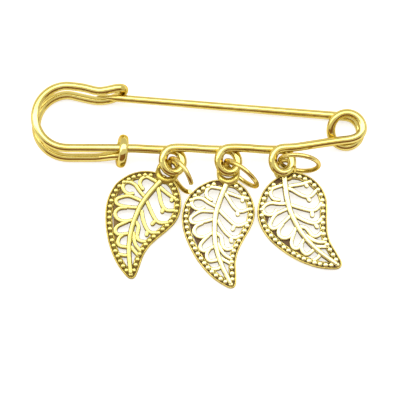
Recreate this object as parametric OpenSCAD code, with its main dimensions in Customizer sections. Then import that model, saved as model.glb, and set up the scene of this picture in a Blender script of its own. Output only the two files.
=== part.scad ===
// Safety pin brooch: a kilt pin bent from one wire, with three hanging loops,
// three jump rings and three pierced leaf charms. It lies flat on its back:
// +X runs along the pin, +Y points from the bar to the pin arm, +Z is up.

/* [Wire] */
// Diameter of the pin wire
wire_d = 1.3; // [1.2:0.01:1.32]
// Sides of the meshed wire
wire_sides = 12; // [10:2:14]

/* [Bar and hanging loops] */
// Height of the bar along the width of the brooch
bar_y = 7.35; // [7.2:0.05:7.5]
// Wire height where it enters a hanging loop
loop_front_z = 3.5; // [3.48:0.02:3.6]
// Wire height where it leaves a hanging loop
loop_back_z = 2.2; // [2.18:0.01:2.22]
// Half width of a hanging loop at the wire's middle
loop_rx = 1.48; // [1.45:0.01:1.6]
// Half height of a hanging loop at the wire's middle
loop_ry = 1.85; // [1.8:0.01:1.95]

/* [Spring coil] */
// Coil radius at the wire's middle
coil_r = 2.355; // [2.3:0.01:2.4]
// Wire height of the upper coil turn
coil_top_z = 2.06; // [2.05:0.01:2.12]

/* [Head and hook] */
// Radius of the round head at the wire's middle
head_r = 4.775; // [4.75:0.005:4.8]
// Wire height of the head's upper strand
head_top_z = 3.3; // [3.3:0.01:3.4]

/* [Pin arm] */
// Diameter of the arm where its point begins
arm_end_d = 1.12; // [1.0:0.01:1.16]
// Length of the sharpened point
point_length = 3.2; // [2.5:0.1:4]

/* [Collar] */
// Outer diameter of the collar ring
collar_od = 5; // [4.96:0.01:5.02]
// Thickness of the collar's wire
collar_wire = 1.0; // [0.9:0.01:1.02]
// Width of the collar along the bar
collar_width = 1.35; // [1.2:0.05:1.5]

/* [Jump rings] */
// Outer diameter of the second and third ring
ring_od = 6.5; // [6.48:0.01:6.52]
// Outer diameter of the first ring
first_ring_od = 6.3; // [6.28:0.01:6.32]
// Thickness of a jump ring's wire
ring_wire = 0.7; // [0.6:0.01:0.71]
// Opening between the ends of the first ring, in degrees
ring_slit = 44; // [30:1:50]

/* [Leaf charms] */
// Thickness of the pierced plate in the bead channel
plate_t = 0.65; // [0.6:0.01:0.7]
// Height of the smooth outer band
band_t = 0.9; // [0.85:0.01:0.95]
// Height of the scroll veins
vein_t = 0.85; // [0.8:0.01:0.9]
// Height of the curved midrib
midrib_t = 1.12; // [1.05:0.01:1.2]
// Width of the whole beaded rim
rim_w = 1.1; // [1.05:0.01:1.2]
// Width of the smooth outer band
band_w = 0.24; // [0.22:0.01:0.28]
// Diameter of a rim bead
bead_d = 0.76; // [0.72:0.01:0.78]
// Beads along the rim
bead_count = 43; // [41:1:44]
// Width of a scroll vein
vein_w = 0.6; // [0.55:0.01:0.63]
// Width of the midrib at its top
midrib_w = 0.92; // [0.86:0.01:0.96]
// Slope of a charm, whose bail lies on the jump ring
leaf_slope = 3.1; // [3.0:0.1:3.4]

/* [Hidden] */

gold = [0.93, 0.74, 0.28];
pale_gold = [0.96, 0.80, 0.36];
antique_gold = [0.80, 0.66, 0.30];

wire_r = wire_d / 2;
floor_z = wire_r;
loop_y = bar_y - loop_ry;
loop_x = [12.33, 4.31, -3.94];

// The coil drifts a little towards the hook as it winds down to the arm
coil_start = [22.04, 10.65];
coil_end = [21.73, 10.43];
arm_slant = 4.22;
arm_root_angle = 450 - arm_slant;

// The arm rises from the coil's lower turn to the middle of the hook
arm_rise = 0.04;
arm_length = 37.4;
arm_root = [
    coil_end[0] + coil_r * cos(arm_root_angle),
    coil_end[1] + coil_r * sin(arm_root_angle),
    floor_z
];

head_top = [-19.655, bar_y + head_r, head_top_z];
head_low_r = head_r + 0.05;
head_low_y = bar_y - 0.85;
head_low = [-19.575, head_low_y + head_low_r, floor_z];

collar_at = [-11.48, bar_y - 0.28, 2.53];
collar_r = (collar_od - collar_wire) / 2;
collar_turn = -5;
collar_lean = 9;

// The bail: radius at the middle of its wire, and the wire's thickness
bail_r = 1.43;
bail_wire = 0.62;

// The tables below count Y from this far below the middle of the brooch
middle_y = 2.11;

// Points along curves

function smooth(t) = t * t * (3 - 2 * t);
function clamp01(t) = max(0, min(1, t));
function mix(a, b, t) = a + (b - a) * t;

// Cubic curve from a to d with handles b and c, leaving out its first point
function curve(a, b, c, d, steps) = [
    for (i = [1:steps])
        let (t = i / steps, s = 1 - t)
        s * s * s * a + 3 * s * s * t * b + 3 * s * t * t * c + t * t * t * d
];

// Smooth curve through every row of a table, steps points to each stretch
function through(rows, steps) = [
    for (i = [0:len(rows) - 2])
        let (
            a = rows[max(i - 1, 0)],
            b = rows[i],
            c = rows[i + 1],
            d = rows[min(i + 2, len(rows) - 1)]
        )
        for (k = [1:steps])
            let (t = k / steps)
            b + (c - a) * t / 2
            + (2 * a - 5 * b + 4 * c - d) * t * t / 2
            + (3 * b - a - 3 * c + d) * t * t * t / 2
];

// Straight run whose height changes smoothly, leaving out its first point
function run(a, b, steps) = [
    for (i = [1:steps])
        let (t = i / steps)
        [mix(a[0], b[0], t), mix(a[1], b[1], t), mix(a[2], b[2], smooth(t))]
];

function head_arc(centre, radius, from, to, steps) = [
    for (i = [1:steps])
        let (a = mix(from, to, i / steps))
        centre + radius * [cos(a), sin(a), 0]
];

// Route of the wire, from the coil's lower end to the far end of the head

function coil_z(a) = mix(coil_top_z, floor_z, smooth(clamp01((a - 128) / 102)));
function coil_centre(a) = mix(coil_start, coil_end, smooth(clamp01((a - 90) / 300)));
coil_turns = [
    for (a = [arm_root_angle:-15.3:0])
        let (c = coil_centre(a))
        [c[0] + coil_r * cos(a), c[1] + coil_r * sin(a), coil_z(a)]
];
coil_side = [coil_start[0] + coil_r, coil_start[1] - 0.05, coil_top_z];
bar_end = [22.3, 8.93, coil_top_z];
coil_exit = concat(
    [coil_side],
    curve(coil_side, coil_side - [0, 1.0, 0], bar_end + [1.1, 0.14, 0], bar_end, 7)
);

// One turn of a hanging loop, from the bar on its right to the bar on its left
function loop_z(a) = mix(loop_front_z, loop_back_z, smooth(clamp01((a - 140) / 260)));
function hanging_loop(x) = [
    for (a = [90:15:450])
        [x + loop_rx * cos(a), loop_y + loop_ry * sin(a), loop_z(a)]
];
function loop_in(x) = [x + 1.35, bar_y, loop_front_z];
function loop_out(x) = [x - 1.6, bar_y, loop_back_z];
function bar_between(right, left) =
    concat([loop_out(right)], run(loop_out(right), loop_in(left), 8));

bar_right = curve(
    bar_end, bar_end - [3.2, 0.42, -0.25],
    loop_in(loop_x[0]) + [2.4, 0.3, 0.02], loop_in(loop_x[0]), 9
);
bar_left_end = [-10.2, bar_y, head_top_z - 0.18];
head_start = [head_top[0], bar_y, head_top_z];

// The hook, from the top of the head's upper arc to that of its lower arc
hook_rows = [
    // x, y, z
    [-19.655, 16.9, 3.3],
    [-17.1, 16.55, 3.3],
    [-15.1, 16.03, 3.3],
    [-13.5, 16.25, 3.3],
    [-12.2, 16.6, 3.2],
    [-11.4, 16.68, 2.75],
    [-11.15, 16.58, 1.95],
    [-11.55, 16.22, 1.1],
    [-12.6, 15.66, floor_z + 0.055],
    [-13.9, 15.3, floor_z],
    [-15.4, 15.22, floor_z],
    [-17.1, 15.56, floor_z],
    [-19.575, 16.15, floor_z]
];
hook_route = through(hook_rows, 4);

// The head's lower strand rises beside the bar into the collar
low_rise = [-15.6, head_low_y, floor_z];
low_end = [-11.6, bar_y - 0.83, 2.08];

wire_route = concat(
    coil_turns,
    coil_exit,
    bar_right,
    hanging_loop(loop_x[0]),
    bar_between(loop_x[0], loop_x[1]),
    hanging_loop(loop_x[1]),
    bar_between(loop_x[1], loop_x[2]),
    hanging_loop(loop_x[2]),
    [loop_out(loop_x[2])],
    run(loop_out(loop_x[2]), bar_left_end, 7),
    run(bar_left_end, head_start, 5),
    head_arc(head_top, head_r, 270, 90, 16),
    hook_route,
    head_arc(head_low, head_low_r, 90, 270, 16),
    [low_rise],
    run(low_rise, low_end, 7)
);

// Round wire swept along a route, each ring turned as little as possible

function unit(v) = v / norm(v);
function heading(route, i) =
    unit(route[min(i + 1, len(route) - 1)] - route[max(i - 1, 0)]);
function side_vectors(route) = [
    for (
        i = 0, n = len(route), h = heading(route, 0), u = unit(cross(h, [0.3, 0.2, 1]));
        i < n;
        i = i + 1,
        h = i < n ? heading(route, i) : h,
        u = unit(u - (u * h) * h)
    ) u
];
module swept_wire(route, radius, sides) {
    n = len(route);
    us = side_vectors(route);
    points = [
        for (i = [0:n - 1])
            let (h = heading(route, i), v = cross(h, us[i]))
            for (k = [0:sides - 1])
                let (a = 360 * k / sides)
                route[i] + radius * (cos(a) * us[i] + sin(a) * v)
    ];
    walls = [
        for (i = [0:n - 2], k = [0:sides - 1])
            let (m = (k + 1) % sides)
            [i * sides + k, (i + 1) * sides + k, (i + 1) * sides + m, i * sides + m]
    ];
    first_cap = [for (k = [0:sides - 1]) k];
    last_cap = [for (k = [sides - 1:-1:0]) (n - 1) * sides + k];
    polyhedron(points, concat([first_cap], walls, [last_cap]));
}

module centred() {
    translate([0, -middle_y, 0]) children();
}

// The fixed wire: coil, bar, three hanging loops, round head and hook
module pin_wire() {
    color(gold) centred() swept_wire(wire_route, wire_r, wire_sides);
}

// The straight arm that springs in the coil, with its point under the hook
module pin_arm() {
    end_gap = 0.1;
    shaft = arm_length - point_length;
    tip_r = 0.1;
    color(gold)
        centred()
            translate(arm_root)
                rotate([0, 0, -arm_slant])
                    rotate([0, -90 + atan(arm_rise), 0]) {
                        translate([0, 0, end_gap])
                            cylinder(h = shaft - end_gap, r1 = wire_r, r2 = arm_end_d / 2, $fn = 48);
                        translate([0, 0, shaft])
                            cylinder(h = point_length, r1 = arm_end_d / 2, r2 = tip_r, $fn = 48);
                    }
}

// Section of the collar: a round wire pressed a little wide
module collar_section() {
    flat = collar_width - collar_wire;
    translate([collar_r - collar_wire / 2, -flat / 2]) square([collar_wire, flat]);
    for (side = [-1, 1]) {
        translate([collar_r, side * flat / 2]) circle(d = collar_wire, $fn = 48);
    }
}

// The ring that holds both strands together where the head meets the bar
module collar() {
    color(gold)
        centred()
            translate(collar_at)
                rotate([0, 0, collar_turn])
                    rotate([0, 90 + collar_lean, 0])
                        rotate_extrude($fn = 96) collar_section();
}

// A jump ring standing on its edge and leaning a little, with a slit of so
// many degrees between its ends
module jump_ring(at, turn, lean, od, slit_at, slit) {
    ring_r = (od - ring_wire) / 2;
    color(pale_gold)
        centred()
            translate([at[0], at[1], ring_r * cos(lean) + ring_wire / 2])
                rotate([0, 0, turn])
                    rotate([90 - lean, 0, 0])
                        rotate([0, 0, slit_at + slit / 2])
                            rotate_extrude(angle = 360 - slit, $fn = 96)
                                translate([ring_r, 0])
                                    circle(d = ring_wire, $fn = 32);
}
module jump_ring_1() { jump_ring([-2.78, 3.28], -56.5, 15, first_ring_od, 14, ring_slit); }
module jump_ring_2() { jump_ring([6.25, 3.51], -38, 4, ring_od, 0, 0); }
module jump_ring_3() { jump_ring([14.82, 5.11], -7, 10.5, ring_od, 0, 0); }

// Leaf charm: outline, midrib and veins in the leaf's own plane, with the top
// of the midrib at the origin and the tip towards -Y

outline_rows = [
    // x, y
    [0.3, 0.72], [-1.4, 0.78], [-2.8, 0.5], [-4.2, -0.2], [-5.4, -1.25],
    [-6.3, -2.55], [-6.75, -4.1], [-6.8, -5.7], [-6.5, -7.3], [-5.9, -9.0],
    [-5.05, -10.75], [-3.95, -12.4], [-2.6, -13.9], [-1.15, -15.0], [0.0, -15.55],
    [0.75, -15.1], [0.9, -13.5], [0.93, -11.7], [1.35, -10.1], [2.2, -8.5],
    [3.2, -6.9], [3.88, -5.4], [4.05, -3.85], [3.7, -2.25], [2.85, -0.75],
    [1.7, 0.3]
];
midrib_rows = [
    // x, y
    [0.1, 0.3], [-0.65, -1.3], [-1.3, -2.9], [-1.8, -4.6], [-2.02, -6.6],
    [-2.0, -8.6], [-1.7, -10.4], [-1.15, -12.2], [-0.1, -14.6]
];
// Scrolls and lobes of the wide side, each a row of x, y points
lobe_rows = [
    [[-0.7, -0.6], [-1.5, -0.4], [-2.4, -0.3], [-3.0, -0.9], [-2.95, -1.7], [-2.35, -2.2]],
    [
        [-1.6, -3.3], [-2.7, -2.65], [-3.6, -2.0], [-4.5, -1.85], [-5.15, -2.15],
        [-5.25, -2.85], [-4.8, -3.4], [-4.1, -3.6], [-3.55, -3.35]
    ],
    [
        [-1.7, -4.0], [-2.8, -3.9], [-3.9, -3.85], [-4.8, -4.25], [-5.5, -4.85],
        [-5.35, -5.5], [-4.4, -5.6], [-3.3, -5.4], [-2.0, -5.1]
    ],
    [
        [-3.7, -5.6], [-4.7, -6.05], [-5.1, -6.8], [-4.75, -7.5], [-3.9, -7.75],
        [-3.0, -7.5], [-2.1, -7.0]
    ],
    [
        [-2.9, -7.55], [-3.5, -8.05], [-4.15, -8.75], [-4.25, -9.45], [-3.75, -9.85],
        [-3.0, -9.6], [-2.0, -9.1]
    ],
    [[-2.9, -9.65], [-3.3, -10.2], [-3.3, -10.95], [-2.85, -11.4], [-1.6, -11.2]],
    [[-1.2, -12.3], [-1.8, -12.55], [-2.5, -12.6]]
];
// Ribs of the narrow side, from the midrib to the rim
rib_rows = [
    [[0.0, -1.2], [0.9, -1.55], [1.8, -1.9], [2.9, -2.15]],
    [[-0.35, -1.3], [0.2, -2.1], [0.75, -3.1], [1.4, -3.9], [2.1, -4.15], [3.1, -3.85]],
    [[-1.2, -3.8], [-0.4, -4.7], [0.35, -5.5], [1.05, -6.1], [1.8, -6.25], [2.7, -5.9]],
    [[-1.5, -5.3], [-0.95, -6.4], [-0.3, -7.3], [0.35, -7.9], [1.0, -8.05], [1.7, -7.8]],
    [[-1.8, -7.2], [-1.15, -7.8], [-1.0, -8.6], [-0.85, -9.35], [-0.35, -9.75], [0.4, -9.65]],
    [[-1.7, -8.8], [-1.15, -9.9], [-0.6, -10.6], [0.2, -11.1]],
    [[-1.3, -11.0], [-0.5, -11.5], [0.2, -11.9]]
];
// Short hooks where a rib curls over, from the rib to the hook's round end
hook_stubs = [
    [[2.3, -2.05], [2.3, -2.4]],
    [[1.5, -4.0], [1.5, -4.45]],
    [[1.0, -6.1], [0.7, -6.65]],
    [[0.4, -7.9], [0.4, -8.45]]
];

leaf_outline = through(concat(outline_rows, [outline_rows[0]]), 3);

module blade(inset) {
    offset(r = -inset, $fn = 24) polygon(leaf_outline);
}

// A flat stroke of changing width along a row of points, with a round end
module stroke(rows, width_from, width_to, steps = 4) {
    line = concat([rows[0]], through(rows, steps));
    n = len(line);
    function across(i) =
        let (d = line[min(i + 1, n - 1)] - line[max(i - 1, 0)])
        [-d[1], d[0]] / norm(d) * mix(width_from, width_to, i / (n - 1)) / 2;
    polygon(concat(
        [for (i = [0:n - 1]) line[i] + across(i)],
        [for (i = [n - 1:-1:0]) line[i] - across(i)]
    ));
    translate(line[n - 1]) circle(d = width_to, $fn = 12);
}

// Lobes, ribs and their hooks, seen from above
module vein_pattern() {
    for (row = lobe_rows) {
        stroke(row, vein_w, vein_w);
    }
    for (row = rib_rows) {
        stroke(row, vein_w * 1.1, vein_w);
    }
    for (row = hook_stubs) {
        stroke(row, vein_w, vein_w * 1.1, 2);
    }
}

// Bead centres, equally spaced along the middle of the bead channel
function lengths(line) = [
    for (
        i = 0, s = 0;
        i < len(line);
        i = i + 1,
        s = i < len(line) ? s + norm(line[i] - line[i - 1]) : s
    ) s
];
function at_length(line, sums, s, i = 0) =
    s <= sums[i + 1] || i >= len(line) - 2
        ? mix(line[i], line[i + 1], (s - sums[i]) / (sums[i + 1] - sums[i]))
        : at_length(line, sums, s, i + 1);
// The channel's middle, moved out a little so that the beads touch the band
bead_inset = (rim_w + band_w) / 2 - 0.06;
bead_sink = 0.03;
bead_line = [
    for (i = [1:len(leaf_outline) - 2])
        let (d = leaf_outline[i + 1] - leaf_outline[i - 1])
        leaf_outline[i] + bead_inset * [-d[1], d[0]] / norm(d)
];
bead_sums = lengths(bead_line);
bead_from = 1.9;
bead_to = bead_sums[len(bead_sums) - 1] - 1.3;

module leaf_beads() {
    for (i = [0:bead_count - 1]) {
        spot = at_length(bead_line, bead_sums, mix(bead_from, bead_to, i / (bead_count - 1)));
        translate([spot[0], spot[1], plate_t - bead_sink]) sphere(d = bead_d, $fn = 24);
    }
}

// The pierced plate, raised rim, veins and midrib, all from the back face up
module leaf_plate() {
    // How far the veins run into the rim
    vein_overlap = 0.12;
    linear_extrude(height = plate_t) difference() {
        blade(0);
        blade(rim_w);
    }
    linear_extrude(height = band_t) difference() {
        blade(0);
        blade(band_w);
    }
    linear_extrude(height = vein_t) offset(r = 0) intersection() {
        vein_pattern();
        blade(rim_w - vein_overlap);
    }
    linear_extrude(height = midrib_t) stroke(midrib_rows, midrib_w, midrib_w * 0.8);
}

module bail() {
    rotate_extrude($fn = 72)
        translate([bail_r, 0])
            circle(d = bail_wire, $fn = 32);
}

// One charm, turned about the top of its midrib and sloping down to its tip
module leaf_charm(at, turn, bail_at) {
    tip_y = outline_rows[14][1];
    color(antique_gold)
        centred()
            translate([at[0], at[1], 0])
                rotate([0, 0, turn])
                    translate([0, tip_y, 0])
                        rotate([leaf_slope, 0, 0])
                            translate([0, -tip_y, 0]) {
                                leaf_plate();
                                leaf_beads();
                                translate([bail_at[0], bail_at[1], bail_wire / 2]) bail();
                            }
}
module leaf_charm_1() { leaf_charm([-5.47, 2.98], -18.3, [0.33, 1.6]); }
module leaf_charm_2() { leaf_charm([4.03, 2.25], 2.3, [0.36, 1.95]); }
module leaf_charm_3() { leaf_charm([12.69, 3.04], 31.0, [0.8, 1.23]); }

pin_wire();
pin_arm();
collar();
jump_ring_1();
jump_ring_2();
jump_ring_3();
leaf_charm_1();
leaf_charm_2();
leaf_charm_3();
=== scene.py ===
# Looks of the safety pin brooch: smooth bent wire, collar, jump rings and cast leaf charms.
# Lengths are in millimetres until a finished piece is moved to its place in metres.

import math
import random

import bmesh
import bpy
from mathutils import Matrix, Vector, noise
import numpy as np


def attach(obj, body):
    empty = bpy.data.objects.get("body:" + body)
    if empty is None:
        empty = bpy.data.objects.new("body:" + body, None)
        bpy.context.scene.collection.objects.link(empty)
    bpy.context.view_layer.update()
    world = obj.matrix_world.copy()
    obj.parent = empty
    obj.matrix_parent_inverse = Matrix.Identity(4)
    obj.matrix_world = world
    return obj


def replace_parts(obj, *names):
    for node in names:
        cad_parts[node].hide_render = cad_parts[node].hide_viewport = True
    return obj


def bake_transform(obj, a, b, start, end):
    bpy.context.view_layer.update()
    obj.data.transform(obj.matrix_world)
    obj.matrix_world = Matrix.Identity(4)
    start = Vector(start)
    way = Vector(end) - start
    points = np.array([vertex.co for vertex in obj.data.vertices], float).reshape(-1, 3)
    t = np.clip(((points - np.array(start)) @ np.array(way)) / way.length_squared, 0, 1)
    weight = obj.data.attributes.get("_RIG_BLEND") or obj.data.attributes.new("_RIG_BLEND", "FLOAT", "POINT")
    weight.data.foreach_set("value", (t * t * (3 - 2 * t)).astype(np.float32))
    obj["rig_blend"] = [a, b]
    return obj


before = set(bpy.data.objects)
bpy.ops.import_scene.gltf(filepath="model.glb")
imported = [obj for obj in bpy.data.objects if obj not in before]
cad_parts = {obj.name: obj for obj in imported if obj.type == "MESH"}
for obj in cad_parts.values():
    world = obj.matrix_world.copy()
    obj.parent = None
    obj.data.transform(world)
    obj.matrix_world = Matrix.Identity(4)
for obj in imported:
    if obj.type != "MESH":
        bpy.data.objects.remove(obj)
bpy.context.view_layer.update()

MM = 0.001
# The brooch's middle in these lengths, which the frame has at y = 0
MIDDLE_Y = 2.11
TO_METRES = Matrix.Scale(MM, 4) @ Matrix.Translation((0, -MIDDLE_Y, 0))
SEED = 11
chance = random.Random(SEED)
noise.seed_set(SEED)

# Sizes of the wire, as in the solids. Angles are in degrees, and a sweep is an angle that a
# change of height or place takes along the wire.

WIRE_R = 0.65
WIRE_SIDES = 28
WIRE_STEP = 0.3
RIPPLE_SCALE = 0.7

BAR_Y = 7.35
LOOP_X = (12.33, 4.31, -3.94)
LOOP_RX = 1.48
LOOP_RY = 1.85
LOOP_FRONT_Z = 3.5
LOOP_BACK_Z = 2.2
LOOP_DROP_AT = 140
LOOP_DROP_SWEEP = 260

COIL_R = 2.355
COIL_TOP_Z = 2.06
COIL_START = Vector((22.04, 10.65))
COIL_END = Vector((21.73, 10.43))
COIL_SHIFT_AT = 90
COIL_SHIFT_SWEEP = 300
COIL_DROP_AT = 128
COIL_DROP_SWEEP = 102
COIL_STEP_ANGLE = 5.1
COIL_LEAD = 0.9
COIL_HELD_Z = 1.95
COIL_FREE_Z = 0.7

HEAD_R = 4.775
HEAD_TOP_X = -19.655
HEAD_TOP_Z = 3.3
LOW_HEAD_R = 4.825
LOW_HEAD_X = -19.575
LOW_HEAD_Y = BAR_Y - 0.85
LOW_RISE_X = -15.6
LOW_END = Vector((-11.6, BAR_Y - 0.83, 2.08))

ARM_SLANT = 4.22
ARM_RISE = 0.04
ARM_LENGTH = 37.4
ARM_END_R = 0.56
ARM_TIP_R = 0.1
ARM_STEPS = 170
POINT_LENGTH = 3.2
POINT_FULLNESS = 1.25

COLLAR_R = 2.0
COLLAR_WIRE = 1.0
COLLAR_WIDTH = 1.35
COLLAR_PLACE = Vector((-11.48, BAR_Y - 0.28, 2.53))
COLLAR_TURN = -5
COLLAR_LEAN = 99


# Points along curves


def smooth(t):
    return t * t * (3 - 2 * t)


def clamp01(t):
    return max(0.0, min(1.0, t))


def mix(a, b, t):
    return a + (b - a) * t


def passed(value, start, sweep):
    """Smooth share of a sweep that a value has passed."""
    return smooth(clamp01((value - start) / sweep))


def on_circle(centre, rx, ry, degrees, z):
    turn = math.radians(degrees)
    return Vector((centre[0] + rx * math.cos(turn), centre[1] + ry * math.sin(turn), z))


def curve(a, b, c, d, steps):
    """Cubic curve from a to d with handles b and c."""
    points = []
    for i in range(steps + 1):
        t = i / steps
        s = 1 - t
        points.append(s**3 * a + 3 * s * s * t * b + 3 * s * t * t * c + t**3 * d)
    return points


def through(rows, steps, closed=False):
    """Smooth curve through every row, with steps points to each stretch."""
    rows = [Vector(row) for row in rows]
    count = len(rows)
    stretches = count if closed else count - 1

    def row(i):
        return rows[i % count] if closed else rows[max(0, min(count - 1, i))]

    points = [] if closed else [rows[0]]
    for i in range(stretches):
        a, b, c, d = row(i - 1), row(i), row(i + 1), row(i + 2)
        for k in range(1, steps + 1):
            t = k / steps
            points.append(
                b
                + (c - a) * (t / 2)
                + (2 * a - 5 * b + 4 * c - d) * (t * t / 2)
                + (3 * b - a - 3 * c + d) * (t**3 / 2)
            )
    return points


def run(a, b, steps=16):
    """Straight run whose height changes smoothly."""
    points = []
    for i in range(steps + 1):
        t = i / steps
        x, y = mix(a[0], b[0], t), mix(a[1], b[1], t)
        points.append(Vector((x, y, mix(a[2], b[2], smooth(t)))))
    return points


def even(points, step, rounds=5):
    """The same line with evenly spaced points, its small corners rounded off."""
    kept = [points[0]]
    for point in points[1:]:
        if (point - kept[-1]).length > 1e-4:
            kept.append(point)
    sums = [0.0]
    for a, b in zip(kept, kept[1:]):
        sums.append(sums[-1] + (b - a).length)
    count = round(sums[-1] / step)
    line = []
    place = 0
    for i in range(count + 1):
        length = sums[-1] * i / count
        while place < len(kept) - 2 and sums[place + 1] < length:
            place += 1
        span = sums[place + 1] - sums[place]
        line.append(mix(kept[place], kept[place + 1], (length - sums[place]) / span))
    for _ in range(rounds):
        inner = [(a + 2 * b + c) / 4 for a, b, c in zip(line, line[1:], line[2:])]
        line = [line[0], *inner, line[-1]]
    return line


# Route of the wire, in the same places as the solids

ROOT_ANGLE = 450 - ARM_SLANT
ARM_ROOT = on_circle(COIL_END, COIL_R, COIL_R, ROOT_ANGLE, WIRE_R)
BAR_END = Vector((22.3, 8.93, COIL_TOP_Z))


def arm_point(length):
    """Point on the arm's middle, that far from the coil."""
    slant = math.radians(ARM_SLANT)
    flat_share = math.cos(math.atan(ARM_RISE))
    step = Vector((-math.cos(slant), math.sin(slant), ARM_RISE)) * flat_share
    return ARM_ROOT + step * length


def coil_line():
    points = [arm_point(COIL_LEAD * share / 3) for share in (3, 2, 1)]
    angle = ROOT_ANGLE
    while angle > 0:
        centre = mix(COIL_START, COIL_END, passed(angle, COIL_SHIFT_AT, COIL_SHIFT_SWEEP))
        z = mix(COIL_TOP_Z, WIRE_R, passed(angle, COIL_DROP_AT, COIL_DROP_SWEEP))
        points.append(on_circle(centre, COIL_R, COIL_R, angle, z))
        angle -= COIL_STEP_ANGLE
    side = Vector((COIL_START[0] + COIL_R, COIL_START[1] - 0.05, COIL_TOP_Z))
    into_bar = BAR_END + Vector((1.1, 0.14, 0))
    points += curve(side, side - Vector((0, 1, 0)), into_bar, BAR_END, 14)
    return points


def loop_line(x):
    centre = (x, BAR_Y - LOOP_RY)
    points = []
    for angle in range(90, 451, 5):
        z = mix(LOOP_FRONT_Z, LOOP_BACK_Z, passed(angle, LOOP_DROP_AT, LOOP_DROP_SWEEP))
        points.append(on_circle(centre, LOOP_RX, LOOP_RY, angle, z))
    return points


def loop_in(x):
    return Vector((x + 1.35, BAR_Y, LOOP_FRONT_Z))


def loop_out(x):
    return Vector((x - 1.6, BAR_Y, LOOP_BACK_Z))


HOOK_ROWS = (
    (HEAD_TOP_X, 16.9, HEAD_TOP_Z),
    (-17.1, 16.55, HEAD_TOP_Z),
    (-15.1, 16.03, HEAD_TOP_Z),
    (-13.5, 16.25, HEAD_TOP_Z),
    (-12.2, 16.6, 3.2),
    (-11.4, 16.68, 2.75),
    (-11.15, 16.58, 1.95),
    (-11.55, 16.22, 1.1),
    (-12.6, 15.66, 0.705),
    (-13.9, 15.3, WIRE_R),
    (-15.4, 15.22, WIRE_R),
    (-17.1, 15.56, WIRE_R),
    (LOW_HEAD_X, 16.15, WIRE_R),
)


def half_circle(centre, radius, start, sweep, z, count=40):
    points = []
    for i in range(1, count + 1):
        points.append(on_circle(centre, radius, radius, start + sweep * i / count, z))
    return points


def bar_line():
    """Bar, hanging loops, head and hook, from the coil to the end in the collar."""
    first = loop_in(LOOP_X[0])
    out_of_coil = BAR_END - Vector((3.2, 0.42, -0.25))
    points = curve(BAR_END, out_of_coil, first + Vector((2.4, 0.3, 0.02)), first, 24)
    for x, after in zip(LOOP_X, (*LOOP_X[1:], None)):
        points += loop_line(x)
        if after is not None:
            points += run(loop_out(x), loop_in(after))
    bar_left = Vector((-10.2, BAR_Y, HEAD_TOP_Z - 0.18))
    points += run(loop_out(LOOP_X[2]), bar_left)
    points += run(bar_left, (HEAD_TOP_X, BAR_Y, HEAD_TOP_Z))
    upper = (HEAD_TOP_X, BAR_Y + HEAD_R)
    points += half_circle(upper, HEAD_R, 270, -180, HEAD_TOP_Z)
    points += through(HOOK_ROWS, 12)
    lower = (LOW_HEAD_X, LOW_HEAD_Y + LOW_HEAD_R)
    points += half_circle(lower, LOW_HEAD_R, 90, 180, WIRE_R)
    points += run((LOW_RISE_X, LOW_HEAD_Y, WIRE_R), LOW_END)
    return points


# Mesh tools


def new_mesh():
    """An empty mesh with the attributes that the finishes read."""
    bm = bmesh.new()
    bm.verts.layers.float.new("crest")
    bm.verts.layers.float_vector.new("lay")
    bm.verts.layers.int.new("slot")
    return bm


def add_mesh(target, bm):
    """Adds a finished mesh to a larger one."""
    bmesh.ops.recalc_face_normals(bm, faces=bm.faces)
    mesh = bpy.data.meshes.new("part")
    bm.to_mesh(mesh)
    bm.free()
    target.from_mesh(mesh)
    bpy.data.meshes.remove(mesh)


def stations(line, closed=False):
    """For each point of a line its place and the two directions across it."""
    count = len(line)
    headings = []
    for i in range(count):
        if closed:
            headings.append((line[(i + 1) % count] - line[i - 1]).normalized())
        else:
            headings.append((line[min(i + 1, count - 1)] - line[max(i - 1, 0)]).normalized())
    side = headings[0].cross(Vector((0.3, 0.2, 1))).normalized()
    rows = []
    for point, heading in zip(line, headings):
        side = (side - side.dot(heading) * heading).normalized()
        rows.append((point, side, heading.cross(side)))
    return rows


def skin(target, count, sides, place, closed=False):
    """Extrudes a ring from station to station and adds it to the target mesh. place(i, k)
    gives point k of ring i, its crest value and its lay vector."""
    bm = new_mesh()
    crest = bm.verts.layers.float["crest"]
    lay = bm.verts.layers.float_vector["lay"]
    slot = bm.verts.layers.int["slot"]

    def settle(verts, i):
        for vert in verts:
            point, height, along = place(i, vert[slot])
            vert.co = point
            vert[crest] = height
            vert[lay] = along

    ring = bmesh.ops.create_circle(bm, cap_ends=False, segments=sides, radius=1)["verts"]
    for k, vert in enumerate(ring):
        vert[slot] = k
    settle(ring, 0)
    first = list(bm.edges)
    edges = first
    for i in range(1, count):
        made = bmesh.ops.extrude_edge_only(bm, edges=edges)["geom"]
        ring = [item for item in made if isinstance(item, bmesh.types.BMVert)]
        inside = set(ring)
        edges = [
            item
            for item in made
            if isinstance(item, bmesh.types.BMEdge) and inside.issuperset(item.verts)
        ]
        settle(ring, i)
    if closed:
        bmesh.ops.bridge_loops(bm, edges=first + edges)
    else:
        bmesh.ops.contextual_create(bm, geom=first)
        bmesh.ops.contextual_create(bm, geom=edges)
    add_mesh(target, bm)


# The crest value given to every point of the wire; the leaf finish reads it as wear with painted light
def wire(bm, line, radius, sides, closed=False, ripple=0.0, wear_and_light=1.0):
    """Round wire along a line. radius is a number, or gives one for a length in millimetres."""
    rows = stations(line, closed)
    lengths = [0.0]
    for a, b in zip(line, line[1:]):
        lengths.append(lengths[-1] + (b - a).length)
    total = lengths[-1]

    def place(i, k):
        point, side, up = rows[i]
        turn = math.tau * k / sides
        over, beside = math.cos(turn), math.sin(turn)
        thick = radius(lengths[i], total) if callable(radius) else radius
        thick *= 1 + ripple * noise.noise(Vector((lengths[i] * RIPPLE_SCALE, over, beside)))
        across = over * side + beside * up
        return point + thick * across, wear_and_light, (lengths[i], over, beside)

    skin(bm, len(line), sides, place, closed)


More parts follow.
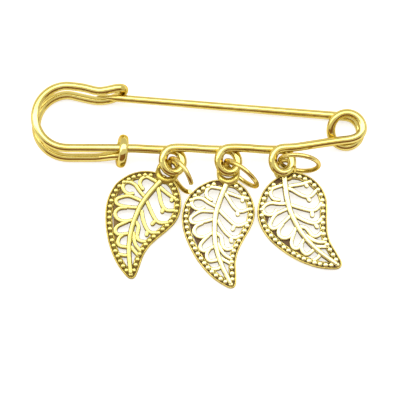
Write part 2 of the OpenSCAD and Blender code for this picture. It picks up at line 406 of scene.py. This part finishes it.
def finish_piece(name, bm, material, matrix=TO_METRES, sharp=38):
    """Turns a mesh into a piece in its place, in metres."""
    bmesh.ops.transform(bm, matrix=matrix, verts=bm.verts)
    for face in bm.faces:
        face.smooth = True
    limit = math.radians(sharp)
    for edge in bm.edges:
        edge.smooth = len(edge.link_faces) == 2 and edge.calc_face_angle() < limit
    mesh = bpy.data.meshes.new(name)
    bm.to_mesh(mesh)
    bm.free()
    mesh.materials.append(material)
    piece = bpy.data.objects.new(name, mesh)
    bpy.context.scene.collection.objects.link(piece)
    return piece


# Shader maths: arithmetic on sockets makes the nodes


class Socket:
    """A shader socket that sums, differences and products can be written with."""

    def __init__(self, tree, socket):
        self.tree = tree
        self.socket = socket

    def math(self, operation, first, second):
        settings = {"operation": operation}
        return add_node(self.tree, "ShaderNodeMath", settings, {0: first, 1: second})

    def __add__(self, other):
        return self.math("ADD", self, other)

    def __radd__(self, other):
        return self.math("ADD", other, self)

    def __sub__(self, other):
        return self.math("SUBTRACT", self, other)

    def __rsub__(self, other):
        return self.math("SUBTRACT", other, self)

    def __mul__(self, other):
        return self.math("MULTIPLY", self, other)

    def __rmul__(self, other):
        return self.math("MULTIPLY", other, self)


def add_node(tree, kind, settings, inputs, output=0):
    """Makes one node, with its settings first, then the values or links of its inputs."""
    node = tree.nodes.new(kind)
    for name, value in settings.items():
        setattr(node, name, value)
    for name, value in inputs.items():
        if isinstance(value, Socket):
            tree.links.new(value.socket, node.inputs[name])
        else:
            node.inputs[name].default_value = value
    return Socket(tree, node.outputs[output])


def ease(value, low, high):
    """0 below low, 1 above high, and smooth between them."""
    return add_node(
        value.tree,
        "ShaderNodeMapRange",
        {"interpolation_type": "SMOOTHSTEP", "clamp": True},
        {"Value": value, "From Min": low, "From Max": high},
    )


def blend_colour(factor, first, second):
    return add_node(
        factor.tree,
        "ShaderNodeMix",
        {"data_type": "RGBA", "clamp_factor": True},
        {0: factor, 6: first, 7: second},
        output=2,
    )


def grain(where, scale, detail=3.0, roughness=0.55, distortion=0.0):
    return add_node(
        where.tree,
        "ShaderNodeTexNoise",
        {},
        {
            "Vector": where,
            "Scale": scale,
            "Detail": detail,
            "Roughness": roughness,
            "Distortion": distortion,
        },
    )


def object_place(tree):
    return add_node(tree, "ShaderNodeTexCoord", {}, {}, output="Object")


def attribute(tree, name, output):
    return add_node(tree, "ShaderNodeAttribute", {"attribute_name": name}, {}, output=output)


def stretched(where, scale):
    return add_node(where.tree, "ShaderNodeMapping", {}, {"Vector": where, "Scale": scale})


def new_material(name, surface):
    """A material whose surface shader already has its plain values."""
    material = bpy.data.materials.new(name)
    material.use_nodes = True
    shader = material.node_tree.nodes["Principled BSDF"]
    for socket, value in surface.items():
        shader.inputs[socket].default_value = value
    return material, shader


def feed(shader, socket, value):
    value.tree.links.new(value.socket, shader.inputs[socket])


def raise_surface(shader, height, distance, strength):
    bump = add_node(
        height.tree,
        "ShaderNodeBump",
        {},
        {"Height": height, "Distance": distance * MM, "Strength": strength},
    )
    feed(shader, "Normal", bump)


# Painted shade: darker gold that the wire's colour turns to where its surface turns away from the view
PAINTED_EDGE_SHADE_GOLD = (0.44, 0.32, 0.07, 1)
TARNISH_BROWN = (0.36, 0.21, 0.05, 1)


def drawn_gold(name, light, deep, roughness, tarnish):
    """Plated wire: faint lines from the drawing die, small dents, a warmer tarnish, and painted shade that
    darkens the colour towards the wire's outline as seen.
    """
    material, shader = new_material(
        name,
        {
            "Metallic": 1.0,
            "Specular Tint": (0.72, 0.5, 0.18, 1),
            "Coat Weight": 0.12,
            "Coat Roughness": 0.1,
        },
    )
    tree = material.node_tree
    where = object_place(tree)
    lay = attribute(tree, "lay", "Vector")
    lines = grain(stretched(lay, (0.08, 9.0, 9.0)), 1.0, detail=2.0)
    dents = grain(where, 900.0, detail=2.0)
    clouds = grain(where, 260.0, detail=4.0, roughness=0.6)
    specks = ease(grain(where, 2600.0, detail=1.0), 0.62, 0.74)
    shade = blend_colour(ease(clouds, 0.36, 0.66), deep, light)
    # Painted shade along the wire's outline, set by how far the surface faces the view
    facing = add_node(tree, "ShaderNodeLayerWeight", {}, {"Blend": 0.5}, output="Facing")
    shade = blend_colour(ease(facing, 0.72, 1.0), shade, PAINTED_EDGE_SHADE_GOLD)
    stain = ease(clouds, 0.58, 0.8) * tarnish + specks * (tarnish * 0.6)
    feed(shader, "Base Color", blend_colour(stain, shade, TARNISH_BROWN))
    feed(shader, "Roughness", roughness + clouds * 0.05 + lines * 0.04 + specks * 0.1)
    raise_surface(shader, lines * 0.35 + dents * 0.65, 0.02, 0.35)
    return material


def cast_gold(name, recess_deep, recess_light, gold_deep, gold_light, worn_and_highlit_gold):
    """Cast leaf: pale worn tops, golden flanks and a dark brown patina left in the recesses. The pale tops
    also carry a painted highlight, and the brown also stands in as painted shade on the lower flanks of the
    veins and rim.
    """
    material, shader = new_material(name, {})
    tree = material.node_tree
    where = object_place(tree)
    crest = attribute(tree, "crest", "Fac")
    mottle = grain(where, 750.0, detail=5.0, roughness=0.65)
    pores = grain(where, 5200.0, detail=2.0)
    broad = grain(where, 190.0, detail=2.0)
    height = crest + (mottle - 0.5) * 0.5 + (broad - 0.5) * 0.2
    # Gold where the crest is high, brown below it: the brown is patina and also painted shade on the lower
    # flanks
    clean_and_unshaded = ease(height, 0.16, 0.52)
    # Pale gold on the highest crests: partly real wear, partly a painted highlight
    wear_and_light = ease(height, 0.62, 0.98)
    gold = blend_colour(ease(mottle, 0.35, 0.7), gold_deep, gold_light)
    bright = blend_colour(wear_and_light, gold, worn_and_highlit_gold)
    brown = blend_colour(mottle, recess_deep, recess_light)
    feed(shader, "Base Color", blend_colour(clean_and_unshaded, brown, bright))
    feed(shader, "Metallic", 0.35 + clean_and_unshaded * 0.65)
    feed(shader, "Roughness", 0.62 - clean_and_unshaded * 0.3 - wear_and_light * 0.04 + pores * 0.08)
    raise_surface(shader, mottle * 0.7 + pores * 0.3, 0.045, 0.6)
    return material


BRIGHT_GOLD = drawn_gold(
    "bright_gold_wire",
    light=(0.66, 0.56, 0.18, 1),
    deep=(0.58, 0.46, 0.12, 1),
    roughness=0.04,
    tarnish=0.2,
)
RING_GOLD = drawn_gold(
    "pale_gold_ring",
    light=(0.66, 0.54, 0.18, 1),
    deep=(0.57, 0.43, 0.11, 1),
    roughness=0.12,
    tarnish=0.3,
)
# One casting in two finishes: the first charm's gold is painted darker and the other two paler, as painted
# reflection of the top softbox that the charms catch differently
DIMLY_LIT_LEAF_GOLD = cast_gold(
    "leaf_gold_painted_dim",
    recess_deep=(0.08, 0.046, 0.011, 1),
    recess_light=(0.3, 0.19, 0.05, 1),
    gold_deep=(0.47, 0.355, 0.065, 1),
    gold_light=(0.54, 0.445, 0.11, 1),
    worn_and_highlit_gold=(0.6, 0.535, 0.17, 1),
)
BRIGHTLY_LIT_LEAF_GOLD = cast_gold(
    "leaf_gold_painted_bright",
    recess_deep=(0.04, 0.022, 0.008, 1),
    recess_light=(0.17, 0.09, 0.028, 1),
    gold_deep=(0.55, 0.43, 0.1, 1),
    gold_light=(0.69, 0.58, 0.18, 1),
    worn_and_highlit_gold=(0.86, 0.82, 0.43, 1),
)


# The pin: bar with its loops, head and hook, spring coil, arm and collar


def make_bar():
    bm = new_mesh()
    wire(bm, even(bar_line(), WIRE_STEP), WIRE_R, WIRE_SIDES, ripple=0.006)
    piece = finish_piece("bar_loops_and_hook", bm, BRIGHT_GOLD)
    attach(piece, "pin")
    return piece


def make_coil():
    bm = new_mesh()
    wire(bm, even(coil_line(), WIRE_STEP, rounds=3), WIRE_R, WIRE_SIDES)
    piece = finish_piece("spring_coil", bm, BRIGHT_GOLD)
    axis = (COIL_END[0] * MM, (COIL_END[1] - MIDDLE_Y) * MM)
    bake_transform(piece, "pin", "arm", start=(*axis, COIL_HELD_Z * MM), end=(*axis, COIL_FREE_Z * MM))


def arm_radius(length, total):
    """The arm tapers a little along its shaft, then to its point, whose very end is rounded."""
    shaft = total - POINT_LENGTH
    if length <= shaft:
        return mix(WIRE_R, ARM_END_R, length / shaft)
    reach = (length - shaft) / POINT_LENGTH
    return mix(ARM_END_R, ARM_TIP_R, reach**POINT_FULLNESS) if reach < 1 else ARM_TIP_R / 2


def make_arm():
    bm = new_mesh()
    line = [arm_point(mix(COIL_LEAD, ARM_LENGTH, i / ARM_STEPS)) for i in range(ARM_STEPS + 1)]
    wire(bm, line, arm_radius, WIRE_SIDES)
    piece = finish_piece("pin_arm_wire", bm, BRIGHT_GOLD)
    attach(piece, "arm")
    return piece


def ring_line(radius, count, slit_at=0.0, slit=0.0):
    """Points round a ring in its own plane, leaving out the slit."""
    if not slit:
        return [on_circle((0, 0), radius, radius, 360 * i / count, 0) for i in range(count)]
    start = slit_at + slit / 2
    return [
        on_circle((0, 0), radius, radius, start + (360 - slit) * i / (count - 1), 0)
        for i in range(count)
    ]


def make_collar():
    bm = new_mesh()
    wire(bm, ring_line(COLLAR_R, 72), COLLAR_WIRE / 2, 24, closed=True, ripple=0.03)
    bmesh.ops.scale(bm, vec=(1, 1, COLLAR_WIDTH / COLLAR_WIRE), verts=bm.verts)
    place = (
        TO_METRES
        @ Matrix.Translation(COLLAR_PLACE)
        @ Matrix.Rotation(math.radians(COLLAR_TURN), 4, "Z")
        @ Matrix.Rotation(math.radians(COLLAR_LEAN), 4, "Y")
    )
    piece = finish_piece("collar_ring", bm, BRIGHT_GOLD, place)
    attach(piece, "pin")
    return piece


# Jump rings: place, turn, lean, outer diameter, middle and width of the slit

JUMP_RINGS = (
    ((-2.78, 3.28), -56.5, 15.0, 6.3, 14.0, 44.0),
    ((6.25, 3.51), -38.0, 4.0, 6.5, 205.0, 1.6),
    ((14.82, 5.11), -7.0, 10.5, 6.5, 230.0, 1.6),
)
RING_R = 0.35


def ring_radius(length, total):
    """Nearly square cut ends with a small rounded edge."""
    end = min(length, total - length)
    return RING_R * (0.9 + 0.1 * clamp01(end / 0.08))


def make_jump_ring(number):
    (x, y), turn, lean, outer, slit_at, slit = JUMP_RINGS[number - 1]
    middle = outer / 2 - RING_R
    line = ring_line(middle, 100, slit_at, slit)
    first = mix(line[0], line[1], 0.2)
    last = mix(line[-1], line[-2], 0.2)
    bm = new_mesh()
    wire(bm, [line[0], first, *line[1:-1], last, line[-1]], ring_radius, 20, ripple=0.012)
    place = (
        TO_METRES
        @ Matrix.Translation((x, y, middle * math.cos(math.radians(lean)) + RING_R))
        @ Matrix.Rotation(math.radians(turn), 4, "Z")
        @ Matrix.Rotation(math.radians(90 - lean), 4, "X")
    )
    piece = finish_piece(f"jump_ring_wire_{number}", bm, RING_GOLD, place)
    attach(piece, "pin")
    return piece


# Leaf charms, drawn flat with the top of the midrib at the origin and the tip towards -Y

OUTLINE_ROWS = (
    (0.3, 0.72), (-1.4, 0.78), (-2.8, 0.5), (-4.2, -0.2), (-5.4, -1.25),
    (-6.3, -2.55), (-6.75, -4.1), (-6.8, -5.7), (-6.5, -7.3), (-5.9, -9.0),
    (-5.05, -10.75), (-3.95, -12.4), (-2.6, -13.9), (-1.15, -15.0), (0.0, -15.55),
    (0.75, -15.1), (0.9, -13.5), (0.93, -11.7), (1.35, -10.1), (2.2, -8.5),
    (3.2, -6.9), (3.88, -5.4), (4.05, -3.85), (3.7, -2.25), (2.85, -0.75),
    (1.7, 0.3),
)
TIP_Y = -15.55
MIDRIB_ROWS = (
    (0.1, 0.3), (-0.65, -1.3), (-1.3, -2.9), (-1.8, -4.6), (-2.02, -6.6),
    (-2.0, -8.6), (-1.7, -10.4), (-1.15, -12.2), (-0.1, -14.6),
)
LOBE_ROWS = (
    ((-0.7, -0.6), (-1.5, -0.4), (-2.4, -0.3), (-3.0, -0.9), (-2.95, -1.7), (-2.35, -2.2)),
    (
        (-1.6, -3.3), (-2.7, -2.65), (-3.6, -2.0), (-4.5, -1.85), (-5.15, -2.15),
        (-5.25, -2.85), (-4.8, -3.4), (-4.1, -3.6), (-3.55, -3.35),
    ),
    (
        (-1.7, -4.0), (-2.8, -3.9), (-3.9, -3.85), (-4.8, -4.25), (-5.5, -4.85),
        (-5.35, -5.5), (-4.4, -5.6), (-3.3, -5.4), (-2.0, -5.1),
    ),
    (
        (-3.7, -5.6), (-4.7, -6.05), (-5.1, -6.8), (-4.75, -7.5), (-3.9, -7.75),
        (-3.0, -7.5), (-2.1, -7.0),
    ),
    (
        (-2.9, -7.55), (-3.5, -8.05), (-4.15, -8.75), (-4.25, -9.45), (-3.75, -9.85),
        (-3.0, -9.6), (-2.0, -9.1),
    ),
    ((-2.9, -9.65), (-3.3, -10.2), (-3.3, -10.95), (-2.85, -11.4), (-1.6, -11.2)),
    ((-1.2, -12.3), (-1.8, -12.55), (-2.5, -12.6)),
)
RIB_ROWS = (
    ((0.0, -1.2), (0.9, -1.55), (1.8, -1.9), (2.9, -2.15)),
    ((-0.35, -1.3), (0.2, -2.1), (0.75, -3.1), (1.4, -3.9), (2.1, -4.15), (3.1, -3.85)),
    ((-1.2, -3.8), (-0.4, -4.7), (0.35, -5.5), (1.05, -6.1), (1.8, -6.25), (2.7, -5.9)),
    ((-1.5, -5.3), (-0.95, -6.4), (-0.3, -7.3), (0.35, -7.9), (1.0, -8.05), (1.7, -7.8)),
    ((-1.8, -7.2), (-1.15, -7.8), (-1.0, -8.6), (-0.85, -9.35), (-0.35, -9.75), (0.4, -9.65)),
    ((-1.7, -8.8), (-1.15, -9.9), (-0.6, -10.6), (0.2, -11.1)),
    ((-1.3, -11.0), (-0.5, -11.5), (0.2, -11.9)),
)
HOOK_STUBS = (
    ((2.3, -2.05), (2.3, -2.5)),
    ((1.5, -4.0), (1.5, -4.55)),
    ((1.0, -6.1), (0.7, -6.75)),
    ((0.4, -7.9), (0.4, -8.55)),
)
# Low webs left in the casting between two lobes and the rim
WEB_CORNERS = (
    ((-5.75, -3.0), (-5.8, -4.5), (-4.95, -3.7)),
    ((-5.72, -5.3), (-5.5, -6.9), (-4.7, -5.85)),
    ((-5.3, -7.3), (-4.55, -9.2), (-3.75, -8.0)),
    ((-4.55, -9.4), (-3.7, -11.0), (-3.1, -10.1)),
)
WEB_T = 0.5
RIM_W = 1.1
BAND_W = 0.24
VEIN_W = 0.6
VEIN_T = 0.85
VEIN_STEP = 0.09
VEIN_END_STEPS = 5
VEIN_END_DROP = 0.16
MIDRIB_W = 0.92
MIDRIB_T = 1.12
BEAD_R = 0.415
BEAD_FLATNESS = 0.76
BEAD_Z = 0.66
BEAD_COUNT = 43
BEAD_INSET = (RIM_W + BAND_W) / 2 - 0.06
BEAD_FROM = 1.9
BEAD_END_GAP = 1.3
BAIL_R = 1.43
BAIL_WIRE_R = 0.31
BAIL_RISE_SPEED = 1.25
LEAF_SLOPE = 3.1
UNEVEN_SCALE = 0.9
UNEVEN_DEPTH = 0.014

# How a bail meets the rim: its lift and stretch there, and how much thicker it grows
BAIL_OVER_RIM = (0.35, 1.1, 1.0)
BAIL_IN_RIM = (0.0, 1.0, 0.25)

# Section of the rim: inset from the outline, height, and how far the finish is worn there, where low values
# also paint shade on the sides and high values paint a highlight on the top
RIM_SECTION = (
    (0.07, 0.0, 0.7), (0.015, 0.05, 0.45), (0.0, 0.2, 0.36), (0.0, 0.55, 0.36),
    (0.0, 0.74, 0.4), (0.03, 0.83, 0.42), (0.07, 0.88, 0.5), (0.12, 0.9, 0.52),
    (0.17, 0.88, 0.42), (0.21, 0.82, 0.3), (0.24, 0.72, 0.15), (0.28, 0.63, 0.05),
    (0.42, 0.6, 0.0), (0.66, 0.6, 0.0), (0.84, 0.6, 0.05), (0.94, 0.62, 0.4),
    (1.03, 0.61, 0.55), (1.09, 0.54, 0.45), (1.1, 0.35, 0.15), (1.1, 0.08, 0.3),
    (1.04, 0.0, 0.7), (0.55, 0.0, 0.75),
)
# Half section of a vein: share of half its width, share of its height, wear, which also paints shade on the
# lower flanks and a highlight on the top
VEIN_SECTION = (
    (0.9, 0.0, 0.7), (1.0, 0.06, 0.5), (1.0, 0.3, 0.1), (1.0, 0.62, 0.1), (0.98, 0.78, 0.22),
    (0.88, 0.91, 0.66), (0.66, 0.97, 1.0), (0.34, 0.995, 1.0),
)
# The midrib's half section, laid out the same way, with the same painted shade and highlight in its wear
MIDRIB_SECTION = (
    (0.9, 0.0, 0.7), (1.0, 0.06, 0.5), (1.0, 0.35, 0.05), (0.99, 0.6, 0.08), (0.93, 0.76, 0.32),
    (0.8, 0.87, 0.8), (0.58, 0.95, 1.0), (0.3, 0.99, 1.0),
)

# Place, turn, place of the bail and how it meets the rim, and finish of each charm; the first charm's finish
# is painted dimmer and the others paler, as painted reflection
LEAF_PLACES = (
    ((-5.47, 2.98), -18.3, (0.33, 1.6), BAIL_OVER_RIM, DIMLY_LIT_LEAF_GOLD),
    ((4.03, 2.25), 2.3, (0.36, 1.95), BAIL_OVER_RIM, BRIGHTLY_LIT_LEAF_GOLD),
    ((12.69, 3.04), 31.0, (0.8, 1.23), BAIL_IN_RIM, BRIGHTLY_LIT_LEAF_GOLD),
)


def flat(line):
    return [Vector((point[0], point[1], 0)) for point in line]


def inward(line):
    """Directions across a closed flat line, towards its inside."""
    count = len(line)
    directions = []
    for i in range(count):
        along = (line[(i + 1) % count] - line[i - 1]).normalized()
        directions.append(Vector((-along.y, along.x, 0)))
    return directions


def rim_insets(line, directions, reach):
    """How far each point of the outline can be set in before another part of it is nearer."""
    halvings = 12
    slack = 0.02
    limits = []
    for point, direction in zip(line, directions):
        low, high = 0.0, reach
        for _ in range(halvings):
            middle = (low + high) / 2
            spot = point + direction * middle
            nearest = min((other - spot).length for other in line)
            if nearest < middle - slack:
                high = middle
            else:
                low = middle
        limits.append(high if high < reach - slack / 2 else reach)
    return limits


OUTLINE = flat(through(OUTLINE_ROWS, 9, closed=True))
INWARD = inward(OUTLINE)
INSETS = rim_insets(OUTLINE, INWARD, RIM_W)


def add_rim(bm):
    def place(i, k):
        inset, z, wear_and_light = RIM_SECTION[k]
        point = OUTLINE[i] + INWARD[i] * min(inset, INSETS[i])
        return Vector((point.x, point.y, z)), wear_and_light, (0, 0, 0)

    skin(bm, len(OUTLINE), len(RIM_SECTION), place, closed=True)


def vein_stations(line, width_from, width_to, round_start):
    """Place, heading, half width and share of it at each station, with the ends rounded off."""
    count = len(line)
    headings = []
    for i in range(count):
        headings.append((line[min(i + 1, count - 1)] - line[max(i - 1, 0)]).normalized())
    rings = []
    for i, (point, heading) in enumerate(zip(line, headings)):
        rings.append((point, heading, mix(width_from, width_to, i / (count - 1)) / 2, 1.0))
    start, first_heading, start_half, _ = rings[0]
    end, last_heading, end_half, _ = rings[-1]
    for step in range(1, VEIN_END_STEPS + 1):
        turn = math.pi / 2 * step / VEIN_END_STEPS
        reach, share = math.sin(turn), math.cos(turn)
        rings.append((end + last_heading * (end_half * reach), last_heading, end_half, share))
        if round_start:
            place = start - first_heading * (start_half * reach)
            rings.insert(0, (place, first_heading, start_half, share))
    return rings


def add_vein(bm, rows, section, width_from, width_to, height, base, round_start=False):
    """A raised vein along a row of points."""
    line = even(flat(through(rows, 7)), VEIN_STEP, rounds=2)
    rings = vein_stations(line, width_from, width_to, round_start)
    half = [*section, (0.0, 1.0, 1.0), *[(-w, h, wear_and_light) for w, h, wear_and_light in reversed(section)]]

    def place(i, k):
        point, heading, width, share = rings[i]
        across, up, wear_and_light = half[k]
        share = max(share, 0.04)
        side = Vector((-heading.y, heading.x, 0)) * (across * width * share)
        drop = 1 - VEIN_END_DROP * (1 - share) ** 2
        z = base + up * (height * drop - base)
        return point + side + Vector((0, 0, z)), wear_and_light, (0, 0, 0)

    skin(bm, len(rings), len(half), place)


def add_web(target, corners):
    """A small three-cornered plate, low enough to keep its dark finish."""
    bm = new_mesh()
    verts = [bm.verts.new((x, y, 0)) for x, y in corners]
    face = bm.faces.new(verts)
    made = bmesh.ops.extrude_face_region(bm, geom=[face])["geom"]
    top = [item for item in made if isinstance(item, bmesh.types.BMVert)]
    bmesh.ops.translate(bm, vec=(0, 0, WEB_T), verts=top)
    add_mesh(target, bm)


def bead_spots():
    """Bead centres, equally spaced along the middle of the rim's channel."""
    line = [point + direction * BEAD_INSET for point, direction in zip(OUTLINE, INWARD)]
    sums = [0.0]
    for a, b in zip(line, line[1:]):
        sums.append(sums[-1] + (b - a).length)
    spots = []
    place = 0
    for i in range(BEAD_COUNT):
        length = mix(BEAD_FROM, sums[-1] - BEAD_END_GAP, i / (BEAD_COUNT - 1))
        while sums[place + 1] < length:
            place += 1
        share = (length - sums[place]) / (sums[place + 1] - sums[place])
        spots.append(mix(line[place], line[place + 1], share))
    return spots


def add_beads(target):
    """Flattened beads, dark at the foot and worn bright, with a painted highlight, from a little above their
    middle.
    """
    bm = new_mesh()
    crest = bm.verts.layers.float["crest"]
    for spot in bead_spots():
        radius = BEAD_R * chance.uniform(0.955, 1.02)
        nudge = Vector((chance.uniform(-0.02, 0.02), chance.uniform(-0.02, 0.02), BEAD_Z))
        place = Matrix.Translation(spot + nudge) @ Matrix.Diagonal((1, 1, BEAD_FLATNESS, 1))
        made = bmesh.ops.create_uvsphere(
            bm, u_segments=16, v_segments=10, radius=radius, matrix=place
        )
        for vert in made["verts"]:
            # Crest rises with height, so the bead tops get the pale worn gold and its painted highlight
            vert[crest] = clamp01(0.4 + (vert.co.z - BEAD_Z) / (radius * 0.3))
    add_mesh(target, bm)


def add_bail(bm, at, meeting):
    """The bail: a ring that lies on the back's level and grows thicker where it meets the leaf."""
    lift, stretch, growth = meeting
    line = []
    for point in ring_line(BAIL_R, 72):
        rise = lift * smooth(clamp01(-point.y / BAIL_R * BAIL_RISE_SPEED))
        reach = point.y * (stretch if point.y < 0 else 1)
        line.append(Vector((point.x + at[0], reach + at[1], BAIL_WIRE_R + rise)))

    def radius(length, total):
        return BAIL_WIRE_R * (1 + growth * max(0.0, -math.sin(math.tau * length / total)))

    wire(bm, line, radius, 16, closed=True, ripple=0.03, wear_and_light=0.55)


def soften(bm, seed):
    """Small unevenness of a cast surface."""
    shift = Vector((seed * 13.7, seed * 5.1, 0))
    for vert in bm.verts:
        vert.co += noise.noise_vector((vert.co + shift) * UNEVEN_SCALE) * UNEVEN_DEPTH
        vert.co.z = max(vert.co.z, 0.0)


def leaf_body():
    """The mesh that all three charms share: one casting, without its bail. Small steps between
    the kinds of vein keep their tops and undersides out of one plane where they meet."""
    wide_vein = VEIN_W * 1.1
    narrow_midrib = MIDRIB_W * 0.8
    bm = new_mesh()
    add_rim(bm)
    for rows in LOBE_ROWS:
        add_vein(bm, rows, VEIN_SECTION, VEIN_W, VEIN_W, VEIN_T, 0.02)
    for rows in RIB_ROWS:
        add_vein(bm, rows, VEIN_SECTION, wide_vein, VEIN_W, VEIN_T - 0.01, 0.03)
    for rows in HOOK_STUBS:
        add_vein(bm, rows, VEIN_SECTION, VEIN_W, wide_vein, VEIN_T - 0.02, 0.04)
    midrib = (MIDRIB_W, narrow_midrib, MIDRIB_T, 0.01)
    add_vein(bm, MIDRIB_ROWS, MIDRIB_SECTION, *midrib, round_start=True)
    for corners in WEB_CORNERS:
        add_web(bm, corners)
    add_beads(bm)
    mesh = bpy.data.meshes.new("leaf_body")
    bm.to_mesh(mesh)
    bm.free()
    return mesh


def make_leaf(number, body):
    (x, y), turn, bail_at, meeting, finish = LEAF_PLACES[number - 1]
    bm = new_mesh()
    bm.from_mesh(body)
    add_bail(bm, bail_at, meeting)
    soften(bm, number)
    place = (
        TO_METRES
        @ Matrix.Translation((x, y, 0))
        @ Matrix.Rotation(math.radians(turn), 4, "Z")
        @ Matrix.Translation((0, TIP_Y, 0))
        @ Matrix.Rotation(math.radians(LEAF_SLOPE), 4, "X")
        @ Matrix.Translation((0, -TIP_Y, 0))
    )
    piece = finish_piece(f"cast_leaf_{number}", bm, finish, place, sharp=50)
    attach(piece, "pin")
    return piece


bar = make_bar()
make_coil()
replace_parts(bar, "pin_wire")
arm = make_arm()
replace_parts(arm, "pin_arm")
collar = make_collar()
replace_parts(collar, "collar")
casting = leaf_body()
for number in (1, 2, 3):
    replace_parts(make_jump_ring(number), f"jump_ring_{number}")
    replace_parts(make_leaf(number, casting), f"leaf_charm_{number}")
bpy.data.meshes.remove(casting)


# Floor, light and camera


def make_floor():
    bm = bmesh.new()
    bmesh.ops.create_grid(bm, x_segments=1, y_segments=1, size=1.5)
    mesh = bpy.data.meshes.new("pale_floor")
    bm.to_mesh(mesh)
    bm.free()
    material, _ = new_material(
        "lit_white_panel",
        {
            "Base Color": (0.5, 0.5, 0.5, 1),
            "Roughness": 0.9,
            "Emission Color": (1, 1, 1, 1),
            "Emission Strength": 0.65,
        },
    )
    mesh.materials.append(material)
    floor = bpy.data.objects.new("pale_floor", mesh)
    bpy.context.scene.collection.objects.link(floor)


def add_softbox(name, place, target, width, depth, power):
    light = bpy.data.lights.new(name, "AREA")
    light.shape = "RECTANGLE"
    light.size = width
    light.size_y = depth
    light.energy = power
    lamp = bpy.data.objects.new(name, light)
    lamp.location = place
    lamp.rotation_mode = "QUATERNION"
    lamp.rotation_quaternion = (Vector(target) - Vector(place)).to_track_quat("-Z", "Y")
    bpy.context.scene.collection.objects.link(lamp)


def make_dark_card():
    """A curved dark card in front of the brooch. The polished wire mirrors it as a thin line."""
    bm = bmesh.new()
    reach, half_width = 0.34, 0.42
    low, high = math.radians(7), math.radians(55)
    start = Vector((0, -math.cos(low), math.sin(low))) * reach
    ends = [bm.verts.new(start + Vector((side * half_width, 0, 0))) for side in (-1, 1)]
    edge = bm.edges.new(ends)
    bmesh.ops.spin(
        bm,
        geom=[*ends, edge],
        cent=(0, 0, 0),
        axis=(1, 0, 0),
        dvec=(0, 0, 0),
        angle=low - high,
        steps=12,
        use_merge=False,
        use_duplicate=False,
    )
    mesh = bpy.data.meshes.new("dark_card")
    bm.to_mesh(mesh)
    bm.free()
    brown = (0.22, 0.1, 0.04, 1)
    material, _ = new_material("dark_felt", {"Base Color": brown, "Roughness": 1.0})
    mesh.materials.append(material)
    card = bpy.data.objects.new("dark_card", mesh)
    card.visible_camera = False
    card.visible_shadow = False
    bpy.context.scene.collection.objects.link(card)


def make_world():
    world = bpy.data.worlds.new("studio")
    world.use_nodes = True
    background = world.node_tree.nodes["Background"]
    background.inputs["Color"].default_value = (1.0, 0.98, 0.95, 1)
    background.inputs["Strength"].default_value = 1.0
    bpy.context.scene.world = world


def make_camera():
    elevation = math.radians(78)
    distance = 0.45
    seen_width = 0.0596
    target = Vector((0.00011, -0.00194, 0))
    data = bpy.data.cameras.new("camera")
    data.sensor_width = 36
    data.lens = data.sensor_width * distance / seen_width
    data.clip_start = 0.01
    camera = bpy.data.objects.new("camera", data)
    back = Vector((0, -math.cos(elevation), math.sin(elevation)))
    camera.location = target + back * distance
    camera.rotation_mode = "QUATERNION"
    camera.rotation_quaternion = (-back).to_track_quat("-Z", "Y")
    bpy.context.scene.collection.objects.link(camera)
    bpy.context.scene.camera = camera


make_floor()
make_dark_card()
make_world()
add_softbox("top_softbox", (0, 0.16, 0.42), (0, 0, 0), 1.0, 0.26, 2.8)
add_softbox("left_softbox", (-0.4, 0.05, 0.3), (0, 0, 0), 0.2, 0.3, 0.35)
make_camera()
bpy.context.scene.view_settings.view_transform = "Standard"
